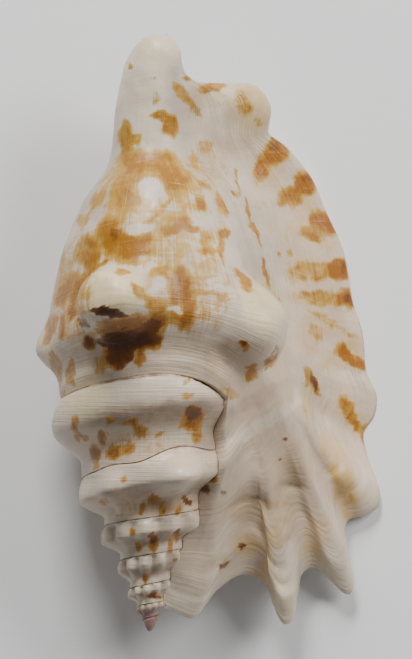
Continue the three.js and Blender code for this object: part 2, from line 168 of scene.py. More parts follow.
# last whorl and wing, one wall from under the callus to the lip
wall = {
    "startTurn": -0.56,
    "backTurn": -0.2,           # from here on it shows from above
    "wingTurn": 50 / 360,       # where it leaves the coil
    "wingShare": 0.7,           # how much of its length is on the coil
    "growthLength": 128,
    "rampLength": 13,           # mm of shell from the suture to the shoulder
    "frontLength": 53,          # and from there to the canal's end
    "thickness": 2.8,
    "mostThickness": 0.6,       # of the way to the coil's axis
    "rimShare": 0.1,            # of the wing, over which the rim is rounded
    "endShares": (0.05, 0.02, 0.03),    # the same at the start, the suture and the canal
    "normalSteps": (0.01, 0.02),
    "underCallus": 0.4,         # how far it stays above the level of rest there
    "seamTuck": 3,              # how far the wing's seam dips under the whorl before it
    "seamLevel": 0.03,
    "seamBegin": (0, 0.3),
    "seamEnd": (0.8, 1),
    "sutureBlend": 0.35,        # up to this level the wing leaves along the suture
    "lip": [
        (1.8, 5, 21), (6.9, 2.5, 16.5), (8.9, 1.9, 15.2), (10.1, 2.5, 14.5), (11.8, 4.7, 13.5),
        (13.8, 7.2, 12.6), (18.7, 10.4, 10.6), (22.7, 8, 9.2), (23.7, 4.4, 8.7), (26.2, 0.8, 8),
        (28, 1.5, 7.7), (29.2, 5.5, 7.7), (30, 10.4, 7.7), (31.7, 11.8, 7.2), (33.3, 11.1, 6.6),
        (37.3, 7.2, 4.8), (39.2, 6.5, 4.2), (40.2, 8.4, 4), (39.8, 12.8, 4.2), (38.7, 19.3, 4.6),
        (39.4, 21.2, 4.4), (42.6, 21.9, 3), (45.1, 23.8, 2.2), (45.2, 27.5, 2), (42.6, 34, 2),
        (41.8, 38, 2.1), (43.9, 41.3, 1.6), (44.3, 45.3, 1.4), (42.4, 50.2, 1.6), (41.6, 57.5, 1.6),
        (39.8, 63.2, 2), (37.9, 73.5, 2.8), (34.5, 81.1, 3.9), (32.1, 86.8, 5), (29.2, 90.8, 6.2),
        (26.4, 93.7, 7.6), (23.3, 96, 9), (23.1, 97.8, 9.5), (23.7, 101.5, 9.8), (22.2, 104.4, 10.4),
        (19.6, 106, 11.6), (14.4, 106.1, 14.5), (9.2, 106.3, 17), (6.6, 107.1, 18.8), (5, 109.5, 20.5),
        (5.6, 112, 21.8), (4.9, 113.8, 23), (3.6, 114.8, 24)],
    "growth": [
        (0, -0.38, -0.9, -0.19), (0.046, -0.29, -0.94, -0.2), (0.115, -0.06, -0.95, -0.28),
        (0.18, 0.1, -0.97, -0.2), (0.245, 0.22, -0.94, -0.25), (0.293, 0.32, -0.91, -0.26),
        (0.367, 0.5, -0.78, -0.35), (0.41, 0.72, -0.6, -0.35), (0.48, 0.95, -0.3, -0.15),
        (0.56, 1, -0.15, -0.16), (0.65, 1, -0.05, -0.2), (0.75, 1, 0.1, -0.25), (0.82, 1, 0.2, -0.4),
        (0.845, 1, 0.1, -0.7), (0.88, 0.7, 0.6, -0.8), (0.93, 0.1, 0.8, -0.8), (0.965, 0.7, 0.3, -0.7),
        (1, 0.5, 0.6, -0.5)],
    "sutureGrowth": Vector((-0.1, -0.9, -0.45)),
    "coilReach": curveThrough([(0, 8), (0.2, 9), (0.5, 10), (0.8, 8), (0.93, 4), (1, 1)]),
    "lipReach": curveThrough([
        (0, 22), (0.2, 26), (0.4, 21), (0.5, 19), (0.65, 15), (0.8, 12), (0.93, 5), (1, 1)]),
    "fingers": curveThrough([
        (0, 0), (0.046, 1), (0.115, -1), (0.18, 1), (0.245, -1), (0.293, 1), (0.367, -1), (0.41, 1),
        (0.481, -0.6), (0.53, 0), (1, 0)]),
    "calmSteps": (-0.045, -0.02, 0, 0.02, 0.045),
    "fingerSpan": (0.45, 0.95),     # where on the wing the fingers begin and are full
    "fingerReach": 2,
    "fingerRise": 0.7,
    "unevenness": [(0.12, 0.35), (0.4, 0.1)],   # noise: how fine, and how high in mm
    "unevenSpan": (0.02, 0.1),
    "reliefFrom": 0.1,          # of the wing
    "driftScale": 0.04,
    "waves": 5,                 # from the body whorl to the lip
    "waveDrift": 0.7,
    "waveHeight": 0.42,
    "waveSpan": (0.1, 0.35),
    "wrinkles": 12,             # over the same way
    "wrinkleDrift": 2,
    "wrinkleStir": (0.13, 0.3),
    "overtone": (0.35, 0.6),    # height and shift of a finer wrinkle in between
    "wrinkleHeight": 0.22,
    "wrinkleSpan": (0.3, 0.6),
    "patchScale": 0.1,          # the wrinkles come in patches
    "patchAt": Vector((7, 0, 3)),
    "patchRange": (0.4, 1.4),
    "frontCalm": 0.85,          # how much smoother the wing is in front
    "frontSpan": (0.4, 0.58),
    "creaseStir": (0.2, 0.05),
    "creaseFade": 0.03,
    # where on the wing, from which level to which, depth and width
    "creases": [
        (0.71, 0.06, 0.3, 0.6, 0.014), (0.86, 0.14, 0.25, 0.5, 0.012), (0.55, 0.12, 0.2, 0.4, 0.016)],
}
lipPoints = [Vector(p) for p in wall["lip"]]
reached = [0.0]
for before, after in zip(lipPoints, lipPoints[1:]):
    reached.append(reached[-1] + (after - before).length)
lipLevels = [length / reached[-1] for length in reached]
lipCurves = [curveThrough([(s, p[axis]) for s, p in zip(lipLevels, lipPoints)]) for axis in range(3)]
growthCurves = [curveThrough([(row[0], row[axis]) for row in wall["growth"]]) for axis in (1, 2, 3)]


@cache
def wingCurve(level):
    start = bodyPoint(wall["wingTurn"], level)
    angle = wall["wingTurn"] * math.tau
    around = Vector((math.cos(angle), 0, -math.sin(angle)))
    leave = around.lerp(wall["sutureGrowth"], 1 - smooth(level, 0, wall["sutureBlend"]))
    edge = Vector([c(level) for c in lipCurves])
    growth = Vector([c(level) for c in growthCurves]).normalized()
    back = wall["lipReach"](level) + wall["fingerReach"] * wall["fingers"](level)
    return start, start + leave * wall["coilReach"](level), edge - growth * back, edge


# the same curve without the fingers: the mean of its neighbours, from its own start
@cache
def calmCurve(level):
    start = wingCurve(level)[0]
    near = [wingCurve(clamp(level + step)) for step in wall["calmSteps"]]
    return [start] + [start + sum((c[i] - c[0] for c in near), Vector()) / len(near) for i in (1, 2, 3)]


def onCurve(curve, share):
    rest = 1 - share
    parts = rest ** 3, 3 * rest * rest * share, 3 * rest * share * share, share ** 3
    return sum((p * part for p, part in zip(curve, parts)), Vector())


# how far out on the wing, and below 0 on the coil
def wingPart(along):
    return (along - wall["wingShare"]) / (1 - wall["wingShare"])


def wallSurface(along, level):
    share = wingPart(along)
    if share < 0:
        return bodyPoint(mix(wall["startTurn"], wall["wingTurn"], along / wall["wingShare"]), level)
    calm, fingered = onCurve(calmCurve(level), share), onCurve(wingCurve(level), share)
    p = calm.lerp(fingered, smooth(share, *wall["fingerSpan"]))
    tucked = wall["seamTuck"] * (1 - smooth(level, 0, wall["seamLevel"]))
    tucked *= smooth(share, *wall["seamBegin"])
    tucked *= 1 - smooth(share, *wall["seamEnd"])
    if tucked:
        p = p + Vector((-p.x, 0, coil["axisHeight"] - p.z)).normalized() * tucked
    return p


def wallNormal(along, level):
    onStep, upStep = wall["normalSteps"]
    a, s = clamp(along, onStep, 1 - onStep), clamp(level, upStep, 1 - upStep)
    onwards = wallSurface(a + onStep, s) - wallSurface(a - onStep, s)
    across = wallSurface(a, s + upStep) - wallSurface(a, s - upStep)
    return onwards.cross(across).normalized()


# knobs and swellings of the last whorl: foot, direction, height and reach, and for some how much
# they widen above the foot and how fast they taper. The first two make the horn, the fourth and
# fifth the big knob on the right
knobs = [
    ((-6.8, 62.8, 39), (-0.44, 0.28, 0.85), 7.2, 8, 1.28, 1.3),
    ((-1.5, 65, 40.6), (-0.2, 0.05, 0.97), 3, 8),
    ((14.5, 31, 24), (0.5, 0, 0.87), 2.4, 10),
    ((19, 59.5, 28.5), (0.9, -0.3, 0.3), 6.8, 10.5, 1.2, 1.7),
    ((14, 65, 33), (0.7, -0.1, 0.7), 2.5, 12),
    ((-20, 54.6, 19), (-1, 0, 0.1), 1.6, 6),
    ((-14, 52, 4.5), (-0.7, 0, -0.7), 1.6, 6),
    ((18, 101, 14.5), (0.2, 0.1, 1), 2, 10),
    ((6.8, 108.6, 20.5), (-1, 0, -0.2), 2.3, 6, 0, 1.6),
    ((23.4, 98.5, 9.7), (1, -0.2, 0), 0.9, 5),
]
plainForm = 0, 2                # of a knob that gives none


def withKnobs(p):
    base = p.copy()
    for foot, direction, height, reach, *form in knobs:
        swell, taper = form or plainForm
        out = base - Vector(foot)
        near = out.length / reach
        if near >= 1:
            continue
        towards = Vector(direction).normalized()
        p = p + towards * (height * (1 - near * near) ** taper)
        out -= towards * out.dot(towards)
        p = p + out * (swell * (1 - near) ** 2)
    return p


# waves, growth wrinkles and creases parallel to the lip, and slow unevenness
def wallRelief(along, level, p):
    share = wingPart(along)
    uneven = sum(noise.noise(p * scale) * height for scale, height in wall["unevenness"])
    relief = uneven * smooth(along, *wall["unevenSpan"])
    if share <= wall["reliefFrom"]:
        return relief
    drift = noise.noise(p * wall["driftScale"])
    wave = math.sin((share * wall["waves"] + drift * wall["waveDrift"]) * math.tau)
    scale, stirred = wall["wrinkleStir"]
    count = share * wall["wrinkles"] + drift * wall["wrinkleDrift"] + noise.noise(p * scale) * stirred
    phase = count * math.tau
    overtone, shift = wall["overtone"]
    wrinkle = math.sin(phase) + overtone * math.sin(2 * phase + shift)
    mean, more = wall["patchRange"]
    patch = clamp(mean + noise.noise(p * wall["patchScale"] + wall["patchAt"]) * more)
    atRear = 1 - wall["frontCalm"] * smooth(level, *wall["frontSpan"])
    relief += wall["waveHeight"] * wave * atRear * smooth(share, *wall["waveSpan"])
    relief += wall["wrinkleHeight"] * wrinkle * patch * atRear * smooth(share, *wall["wrinkleSpan"])
    scale, stirred = wall["creaseStir"]
    for at, low, high, depth, width in wall["creases"]:
        off = share - at + noise.noise(p * scale) * stirred
        within = smooth(level, low, low + wall["creaseFade"])
        within *= 1 - smooth(level, high - wall["creaseFade"], high)
        relief -= depth * within * math.exp(-(off / width) ** 2)
    return relief


def quarterRound(t):
    return math.sqrt(max(0, 1 - (1 - t) ** 2))


# side is 1 on the outside and -1 on the inside
def wallPoint(along, side, level):
    share = wingPart(along)
    toRim = min(1, (1 - share) / wall["rimShare"])
    atStart, atSuture, atCanal = wall["endShares"]
    toEnds = min(1, along / atStart, level / atSuture, (1 - level) / atCanal)
    fullness = quarterRound(toRim) * quarterRound(toEnds)
    base = wallSurface(along, level)
    centreX, centreZ = coilCentre(base.y)
    most = wall["mostThickness"] * math.hypot(base.x - centreX, base.z - centreZ)
    thickness = min(wall["thickness"], most)
    normal = wallNormal(along, level)
    ridge = math.sin(math.pi / 2 * wall["fingers"](level))
    rise = wall["fingerRise"] * ridge * smooth(share, *wall["fingerSpan"])
    inside = base - normal * thickness + Vector((0, 0, rise / 2))
    outside = withKnobs(base + Vector((0, 0, rise)) + normal * wallRelief(along, level, base) * fullness)
    p = outside.lerp(inside, (1 - side * fullness) / 2)
    # under the body the callus lies over the wall
    p.z = max(p.z, coil["restHeight"] + (wall["underCallus"] if share < 0 else 0))
    return p


# the earlier whorls
spire = {
    "firstTurn": -7.5,
    "lastTurn": -0.5,
    "columns": 112,             # in a turn
    "rows": 26,                 # from suture to suture
    "core": Vector((0, 48, 19)),
    "rampSpan": (0.36, 1),
    "roundTip": (-6.7, -5.9),   # over these turns a blunt tip becomes ramps
    "growTurns": 0.4,           # from the apex
    "leftDrop": 0.07,           # how far the shoulder sags on the left, in radii
    "roll": curveThrough([(-8, 0.02), (-2.25, 0.02), (-1.25, 0.045), (-0.8, 0)]),    # how far it bulges
    "rollBefore": 0.2,          # it begins this far before the shoulder
    "coverTurns": 0.15,         # over which the last whorl comes to lie on it
    "apertureTurns": (0.14, 0.24),
    "apertureAhead": 1,
    "underWall": 2.6,           # how far it runs on under the last whorl
    "aboveRest": 0.2,
    "mostPast": 2,              # how far past the shoulder a row may lie, where 1 is the suture
    "leastHeight": 0.01,
    "dives": [(0.97, 1.2, 2), (1.1, 2, 2.5)],   # past the shoulder, from where to where, how deep
    "beadPower": 0.8,
    "beadMean": 0.6,
    "beadSpan": (0.4, 0.95),
    "calmSpan": (1.65, 2),
    "unevenness": 0.7,
    "unevenPace": 0.8,
    "unevenAt": (3, 5),
    "noduleCount": curveThrough([(-7.5, 0), (-2.5, 60), (-1.75, 66.75), (-0.5, 75.5)]),
    "noduleHeight": curveThrough([
        (-7, 0), (-6.25, 0.35), (-5.25, 0.75), (-4.25, 1.15), (-3.25, 1.4), (-2.5, 1.1), (-2.2, 0.5),
        (-1.8, 0.5), (-1.4, 0.4), (-1.15, 0.2), (-0.5, 0.2)]),
    # single ones at the shoulder: turn, place across, reach and height
    "bumps": [
        (-1.935, 0.95, 0.065, 4.4), (-2.09, 1, 0.045, 1.3), (-2.17, 1, 0.045, 0.6),
        (-1.24, 1.1, 0.09, 0.5)],
    "liftReach": 1.4,           # a bump lifts the suture above it, so much further around
    "liftShare": 0.4,           # and by this part of its height
}


# how much of the spire the last whorl covers
def covering(turn):
    return smooth(turn, spire["lastTurn"], spire["lastTurn"] + spire["coverTurns"])


@cache
def spireSuture(turn):
    if turn <= spire["firstTurn"] + 1:
        return 0.0, 0.0
    radius, y = regularSuture(min(turn, spire["lastTurn"]))
    for at, _, reach, height in spire["bumps"]:
        near = abs(turn - 1 - at) / (spire["liftReach"] * reach)
        y += spire["liftShare"] * height * (1 - min(near, 1) ** 2) ** 2
    covered = covering(turn)
    # in the aperture the last whorl has no suture, and the shoulder runs on
    openAt = coil["shoulderY"](turn - 1) + spire["apertureAhead"]
    sutureAt = mix(coil["sutureY"](turn), openAt, smooth(turn, *spire["apertureTurns"]))
    return mix(radius, regularSuture(turn)[0], covered), mix(y, sutureAt, covered)


# across is 0 at the suture, 1 at the shoulder and 2 at the next suture
def spirePoint(turn, across):
    r0, y0 = spireSuture(turn)
    r1, y1 = spireSuture(turn + 1)
    grown = smooth(turn, spire["firstTurn"], spire["firstTurn"] + spire["growTurns"])
    radius = max(coil["shoulderRadius"](turn) * grown, r0)
    sag = spire["leftDrop"] * radius * max(0, -math.sin(math.tau * turn))
    y = clamp(coil["shoulderY"](turn) - sag, y0, y1)
    end = y1 + spire["underWall"] * covering(turn + 1)
    count = spire["noduleCount"](turn)
    sample = Vector((count * spire["unevenPace"], *spire["unevenAt"]))
    uneven = 1 + spire["unevenness"] * noise.noise(sample)
    bead = (0.5 + 0.5 * math.cos(math.tau * count)) ** spire["beadPower"] - spire["beadMean"]
    swell = bead * spire["noduleHeight"](turn) * uneven * smooth(across, *spire["beadSpan"])
    for at, middle, reach, height in spire["bumps"]:
        near = math.hypot((turn - at) / reach, across - middle)
        if near < 1:
            swell += height * (1 - near * near) ** 2
    swell *= 1 - smooth(across, *spire["calmSpan"])
    past = (across - 1) * min(spire["mostPast"], (end - y) / max(y1 - y, spire["leastHeight"]))
    rolled = clamp((past + spire["rollBefore"]) / (1 + spire["rollBefore"]))
    swell += spire["roll"](turn) * radius * math.sin(math.pi * rolled)
    if across < 1:
        rounded = smooth(turn, *spire["roundTip"])
        rise = mix(math.sqrt(across), smooth(across, *spire["rampSpan"]), rounded)
        p = onCoil(turn, mix(r0, radius, rise) + swell, mix(y0, y, across))
    else:
        dive = sum(depth * smooth(past, low, high) for low, high, depth in spire["dives"])
        p = onCoil(turn, mix(radius, r1, past ** 2) + swell - dive, mix(y, end, across - 1))
    p.z = max(p.z, coil["restHeight"] + spire["aboveRest"])
    return p


# columella and callus: the wall that the aperture lies against
core = {
    "columns": 96,
    "rows": 116,
    "ends": (30, 112),
    "radius": curveThrough([
        (30, 0), (33, 4), (40, 7), (46, 9.5), (52, 9.3), (62, 7.6), (75, 6), (85, 5), (95, 4), (103, 3.2),
        (108, 2.4), (111, 1.4), (112, 0)]),
    "growthLength": 50,         # mm around it
    "callusAngles": [(95, 140), (255, 300)],    # between these it spreads out as the callus
    "callusEnds": [(30.5, 33), (104, 111)],
    "callusThickness": 0.7,
    "callusEdge": (195, 235),   # over these degrees it goes down under the wall
    "callusDepth": 1.4,
    "callusFade": 4,            # how deep it goes into the spire
    "fadeSpan": (32, 40),
    "edgeDrift": 4,
    "driftRadius": 3,
    "driftAt": 5,
}


# 0 before the first of two spans, 1 between them and 0 after the second
def between(x, spans):
    return smooth(x, *spans[0]) * (1 - smooth(x, *spans[1]))


def corePoint(angle, y):
    turn = angle / 360
    around = turn * math.tau
    underneath = between(angle, core["callusAngles"])
    callus = mix(core["callusThickness"], -core["callusDepth"], smooth(angle, *core["callusEdge"]))
    reach = core["driftRadius"]
    uneven = noise.noise(Vector((reach * math.cos(around), reach * math.sin(around), core["driftAt"])))
    onSpire = core["callusFade"] * (1 - smooth(y + core["edgeDrift"] * uneven, *core["fadeSpan"]))
    spreadOut = bodyRadius(turn - 1, y) + callus - onSpire
    p = onCoil(turn, mix(core["radius"](y), spreadOut, underneath * between(y, core["callusEnds"])), y)
    p.z = max(p.z, coil["restHeight"])
    return p


# evenly spaced steps between stops: [(from, how many steps to the next stop), ...]
def steps(stops, end):
    values = []
    for (low, count), high in zip(stops, [s[0] for s in stops[1:]] + [end]):
        values += [mix(low, high, i / count) for i in range(count)]
    return values


unsutured = 9                   # mm, for places that are far from any suture
mergeDistance = 2e-7            # m
wallSlot, spireSlot, coreSlot = range(3)    # material slots that tell which solid a face comes from


# a grid with its vertices moved to placeAt(column, row), and two UV maps from growthAt(column, row):
# mm along and across the growth, and mm from the nearest suture
def surfaceMesh(columns, rows, placeAt, growthAt, slotIndex):
    bm = bmesh.new()
    bmesh.ops.create_grid(bm, x_segments=columns, y_segments=rows, size=0.5)
    growth = bm.loops.layers.uv.new("growth")
    suture = bm.loops.layers.uv.new("suture")
    spots = {v: (round((v.co.x + 0.5) * columns), round((v.co.y + 0.5) * rows)) for v in bm.verts}
    grown = {v: growthAt(*spot) for v, spot in spots.items()}
    for face in bm.faces:
        face.material_index = slotIndex
        for loop in face.loops:
            u, v, off = grown[loop.vert]
            loop[growth].uv = u, v
            loop[suture].uv = off, 0
    for vert, spot in spots.items():
        vert.co = (placeAt(*spot) + apexAt) * mm
    return bm


def placed(name, data):
    thing = bpy.data.objects.new(name, data)
    scene.collection.objects.link(thing)
    return thing


def finishSolid(bm, name):
    bmesh.ops.remove_doubles(bm, verts=bm.verts, dist=mergeDistance)
    bmesh.ops.holes_fill(bm, edges=[e for e in bm.edges if e.is_boundary], sides=3)
    bmesh.ops.recalc_face_normals(bm, faces=bm.faces)
    if bm.calc_volume(signed=True) < 0:
        bmesh.ops.reverse_faces(bm, faces=bm.faces)
    mesh = bpy.data.meshes.new(name)
    bm.to_mesh(mesh)
    print(name, len(bm.faces), "faces,", sum(not e.is_manifold for e in bm.edges), "open edges")
    bm.free()
    return placed(name, mesh)


# the wall's grid goes along the outside to the lip, and back along the inside in longer steps
turnsOnCoil = wall["wingTurn"] - wall["startTurn"]
backShare = (wall["backTurn"] - wall["startTurn"]) / turnsOnCoil * wall["wingShare"]
outLines = steps([(0, 30), (backShare, 84), (wall["wingShare"], 70), (0.97, 14)], 1)
inLines = outLines[::2]
sides = [(a, 1) for a in outLines] + [(1, 1)] + [(a, -1) for a in reversed(inLines)]
levelStops = [(0, 6), (0.02, 94), (coil["shoulderLevel"], 54), (0.66, 40), (0.84, 34), (0.97, 8)]
levels = steps(levelStops, 1) + [1]


def wallAt(column, row):
    along, side = sides[column]
    return wallPoint(along, side, levels[row])


# mm along the growth, counted on over the rim, and mm across it
def wallGrowth(column, row):
    along, side = sides[column]
    level = levels[row]
    shoulder = coil["shoulderLevel"]
    onRamp, beyond = min(level, shoulder) / shoulder, max(level - shoulder, 0) / (1 - shoulder)
    across = onRamp * wall["rampLength"] + beyond * wall["frontLength"]
    return (along if side > 0 else 2 - along) * wall["growthLength"], across, unsutured


bm = surfaceMesh(len(sides) - 1, len(levels) - 1, wallAt, wallGrowth, wallSlot)
wallSolid = finishSolid(bm, "wall")

spireColumns = round((spire["lastTurn"] - spire["firstTurn"]) * spire["columns"])


def turnAt(column):
    return spire["firstTurn"] + column / spire["columns"]


def spireAt(column, row):
    return spirePoint(turnAt(column), 2 * row / spire["rows"])


spireLengths = [0.0]
for column in range(spireColumns):
    around = math.tau * coil["shoulderRadius"](turnAt(column))
    spireLengths.append(spireLengths[-1] + around / spire["columns"])


def spireGrowth(column, row):
    y = spireAt(column, row).y
    turn = turnAt(column)
    return spireLengths[column], y, min(y - spireSuture(turn)[1], spireSuture(turn + 1)[1] - y)


# the spire is open at its last turn, so its rim there is closed to one point on the axis
bm = surfaceMesh(spireColumns, spire["rows"], spireAt, spireGrowth, spireSlot)
bmesh.ops.remove_doubles(bm, verts=bm.verts, dist=mergeDistance)
rim = [e for e in bm.edges if e.is_boundary]
lid = bmesh.ops.extrude_edge_only(bm, edges=rim)
for v in [g for g in lid["geom"] if isinstance(g, bmesh.types.BMVert)]:
    v.co = (spire["core"] + apexAt) * mm
spireSolid = finishSolid(bm, "spire")


def coreAt(column, row):
    return corePoint(column / core["columns"] * 360, mix(*core["ends"], row / core["rows"]))


def coreGrowth(column, row):
    along = column / core["columns"] * core["growthLength"]
    return along, mix(*core["ends"], row / core["rows"]), unsutured


bm = surfaceMesh(core["columns"], core["rows"], coreAt, coreGrowth, coreSlot)
coreSolid = finishSolid(bm, "core")
print("grids made")

# one skin from the three solids
sharpAngle = 55                 # degrees
solids = wallSolid, spireSolid, coreSolid
for index in range(len(solids)):
    stand = bpy.data.materials.new("solid%d" % index)
    for solid in solids:
        solid.data.materials.append(stand)
for other in (spireSolid, coreSolid):
    union = wallSolid.modifiers.new(other.name, "BOOLEAN")
    union.operation = "UNION"
    union.solver = "MANIFOLD"
    union.object = other
depsgraph = bpy.context.evaluated_depsgraph_get()
skin = bpy.data.meshes.new_from_object(wallSolid.evaluated_get(depsgraph))
for solid in solids:
    bpy.data.objects.remove(solid)
shell = placed("conchShell", skin)
bm = bmesh.new()
bm.from_mesh(skin)
print("skin", sum(len(f.verts) - 2 for f in bm.faces), "triangles,",
      sum(not e.is_manifold for e in bm.edges), "open edges")
bm.free()
skin.shade_smooth()
skin.set_sharp_from_angle(angle=math.radians(sharpAngle))
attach(shell, "root")
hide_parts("shell")

# the view: a pixel is so many mm, and the coil's axis and apex are at this column and row
view = {
    "size": (412, 659),
    "pixel": 0.193,
    "apexColumn": 149.5,
    "apexRow": 630.5,
    "level": 12,                # mm, the height at which a pixel has its size
}

# what is painted on the back, as ellipses in the view:
# column, row, half width, half height, strength, and for some a lean to the right in degrees
ochreMarks = [
    # canal and front lobe
    (131, 67, 2.5, 3, 0.6), (153, 80, 3, 3, 0.3), (156, 100, 3, 9, 0.25), (190, 80, 7, 3, 0.7, 10),
    (182, 95, 5, 14, 0.6, -30), (193, 108, 4, 15, 0.5, -35), (212, 88, 16, 6, 0.75, -12),
    (243, 104, 9, 14, 0.42, -30), (259, 122, 4, 6, 0.4), (205, 147, 8, 9, 0.35), (214, 166, 14, 12, 0.15),
    # body whorl in front of the horn
    (160, 118, 9, 5, 0.75, 10), (170, 127, 8, 11, 0.95), (127, 140, 7, 19, 0.75), (137, 141, 4, 5, 0.6),
    (150, 163, 30, 13, 0.8), (174, 180, 14, 14, 0.85), (128, 190, 14, 22, 0.62, 15),
    (146, 200, 7, 12, 0.35), (158, 212, 5, 18, 0.75, 45), (139, 213, 4, 3, 0.8),
    (108, 231, 10, 15, 0.95, 10), (128, 248, 24, 15, 0.95, 10), (91, 252, 11, 16, 0.8, 5),
    (148, 242, 4, 9, 0.85, 10), (170, 230, 8, 5, 0.9), (184, 228, 12, 4, 0.85, 5), (178, 222, 12, 5, 0.5),
    (98, 202, 13, 5, 0.5, -55), (84, 222, 8, 5, 0.45, -50), (193, 162, 5, 8, 0.35),
    (202, 185, 2.5, 4, 0.6, -20), (201, 205, 4, 5, 0.4), (193, 231, 4, 3, 0.7),
    # left flank
    (72, 288, 13, 14, 0.75, -20), (62, 298, 7, 10, 0.6, -20), (50, 330, 5, 15, 0.75, 15),
    (64, 327, 4, 12, 0.75), (73, 313, 4, 7, 0.65), (91, 342, 7, 9, 0.85), (58, 262, 6, 14, 0.4, 25),
    # around the horn
    (84, 279, 11, 3, 0.8, -50), (101, 266, 12, 3, 0.7, -18), (76, 297, 3, 10, 0.75, 10),
    (124, 273, 8, 3, 0.55), (140, 291, 4, 12, 0.6, -35), (181, 284, 11, 17, 0.95),
    (182, 307, 13, 20, 0.9, 5), (158, 306, 12, 9, 0.6), (164, 273, 14, 5, 0.55), (156, 322, 14, 8, 0.9),
    (211, 294, 22, 2.5, 0.45, 2), (205, 278, 14, 2, 0.3, 2), (225, 299, 8, 2, 0.4, 3),
    # behind the horn
    (130, 330, 32, 14, 0.97), (118, 352, 13, 16, 0.95), (144, 342, 17, 9, 0.9), (140, 358, 5, 9, 0.65),
    (100, 365, 9, 11, 0.35), (56, 370, 6, 18, 0.6, -12), (72, 372, 5, 15, 0.6), (65, 395, 3, 8, 0.4),
    (244, 346, 4, 6, 0.8, -20), (251, 372, 6, 10, 0.85, 10), (273, 357, 5, 15, 1, 28),
    (230, 392, 11, 5, 0.3, 25),
    # faint, between the patches
    (140, 205, 50, 60, 0.3), (190, 290, 50, 50, 0.22), (75, 290, 22, 60, 0.3, 10),
    (205, 200, 30, 60, 0.2),
    # bands at the lip
    (279, 149, 12, 20, 0.97, 30), (262, 166, 8, 19, 0.85, 20), (307, 182, 14, 13, 0.97, 35),
    (290, 196, 13, 11, 0.75, 35), (270, 205, 16, 6, 0.25), (326, 223, 17, 12, 0.97, 35),
    (310, 234, 13, 8, 0.8, 25), (342, 270, 15, 11, 0.97), (314, 271, 26, 10, 0.6),
    (350, 298, 11, 12, 0.97, -20), (324, 298, 28, 8, 0.6, 4), (332, 323, 32, 4, 0.5, 28),
    (315, 331, 9, 9, 0.45, -10), (319, 341, 7, 8, 0.4), (342, 351, 9, 7, 0.6, 30),
    (354, 361, 19, 6, 0.85, 40), (350, 411, 7, 18, 0.75, -25), (361, 430, 6, 13, 0.85, -25),
    (350, 505, 5, 16, 0.3),
    # dashes along the growth lines right of the body
    (237, 180, 2.2, 14, 0.75, -12), (235, 194, 6, 2.5, 0.7, 30), (249, 212, 2.2, 14, 0.7, -8),
    (256, 234, 2.5, 14, 0.85, -25), (265, 272, 2.8, 17, 0.85, -12), (222, 206, 4, 12, 0.65, -25),
    (206, 186, 3, 4, 0.6, -20), (226, 234, 6, 5, 0.9), (222, 250, 2.2, 14, 0.6, -8),
    (210, 251, 10, 3, 0.6), (245, 282, 4, 14, 0.75, -35), (201, 205, 5, 8, 0.5, -20),
    (193, 230, 5, 4, 0.7), (291, 253, 4, 7, 0.6), (281, 253, 3, 3, 0.6), (286, 237, 3, 8, 0.3, -30),
    (276, 297, 3, 6, 0.5, -30), (205, 240, 5, 8, 0.4), (290, 277, 14, 9, 0.25),
    # rear wing
    (312, 381, 6, 15, 0.85, -25), (305, 405, 5, 16, 0.25), (213, 480, 5, 4, 0.8), (241, 546, 6, 5, 0.4),
    (226, 563, 12, 3, 0.3, 65),
]
# soft golden brown, without an edge
warmMarks = [
    (344, 484, 12, 34, 0.85, -18), (332, 455, 12, 26, 0.5, -25), (352, 512, 7, 14, 0.7),
    (262, 540, 30, 12, 0.5, -10), (244, 546, 14, 10, 0.5), (314, 540, 14, 26, 0.5, 10),
    (262, 512, 44, 16, 0.35, 5), (290, 470, 20, 30, 0.2), (268, 562, 6, 14, 0.4, 10),
    (345, 355, 24, 12, 0.6, -30), (352, 415, 12, 26, 0.5, -25), (322, 300, 40, 9, 0.6, 4),
    (318, 272, 34, 12, 0.6), (300, 262, 16, 14, 0.3), (330, 326, 30, 10, 0.4, 28),
    (312, 334, 16, 20, 0.4), (316, 232, 24, 12, 0.6, 25), (296, 200, 24, 12, 0.5, 30),
    (270, 165, 16, 24, 0.5, 25), (252, 106, 24, 26, 0.55, -30), (205, 92, 20, 16, 0.3, -10),
    (290, 232, 20, 20, 0.25), (305, 405, 8, 20, 0.4), (255, 585, 30, 14, 0.3, -20),
]
# dark brown stains; those just below the horn are partly stain, partly painted shadow cast by the horn
umberAndShadowMarks = [
    (110, 312, 18, 4, 1, 10), (130, 339, 30, 9, 1, -3), (122, 353, 13, 14, 0.8),
    (85, 322, 5, 9, 0.5, -40), (153, 325, 10, 8, 0.6), (90, 342, 5, 7, 0.5), (314, 383, 3, 9, 0.9, -20),
    (241, 546, 4, 4, 0.65), (273, 354, 3, 12, 0.36, 28), (244, 344, 3, 4, 0.5),
    (205, 486, 9, 4, 0.55, 45), (116, 235, 8, 8, 0.3), (225, 564, 9, 3, 0.45, -25),
    (183, 290, 8, 20, 0.3), (275, 144, 7, 14, 0.35, 25), (309, 178, 7, 7, 0.3), (331, 226, 6, 7, 0.3),
    (345, 268, 6, 7, 0.3), (350, 300, 7, 7, 0.4), (278, 459, 3, 2, 0.5), (285, 438, 2.5, 2, 0.5),
    (222, 492, 8, 3, 0.35, 20),
]
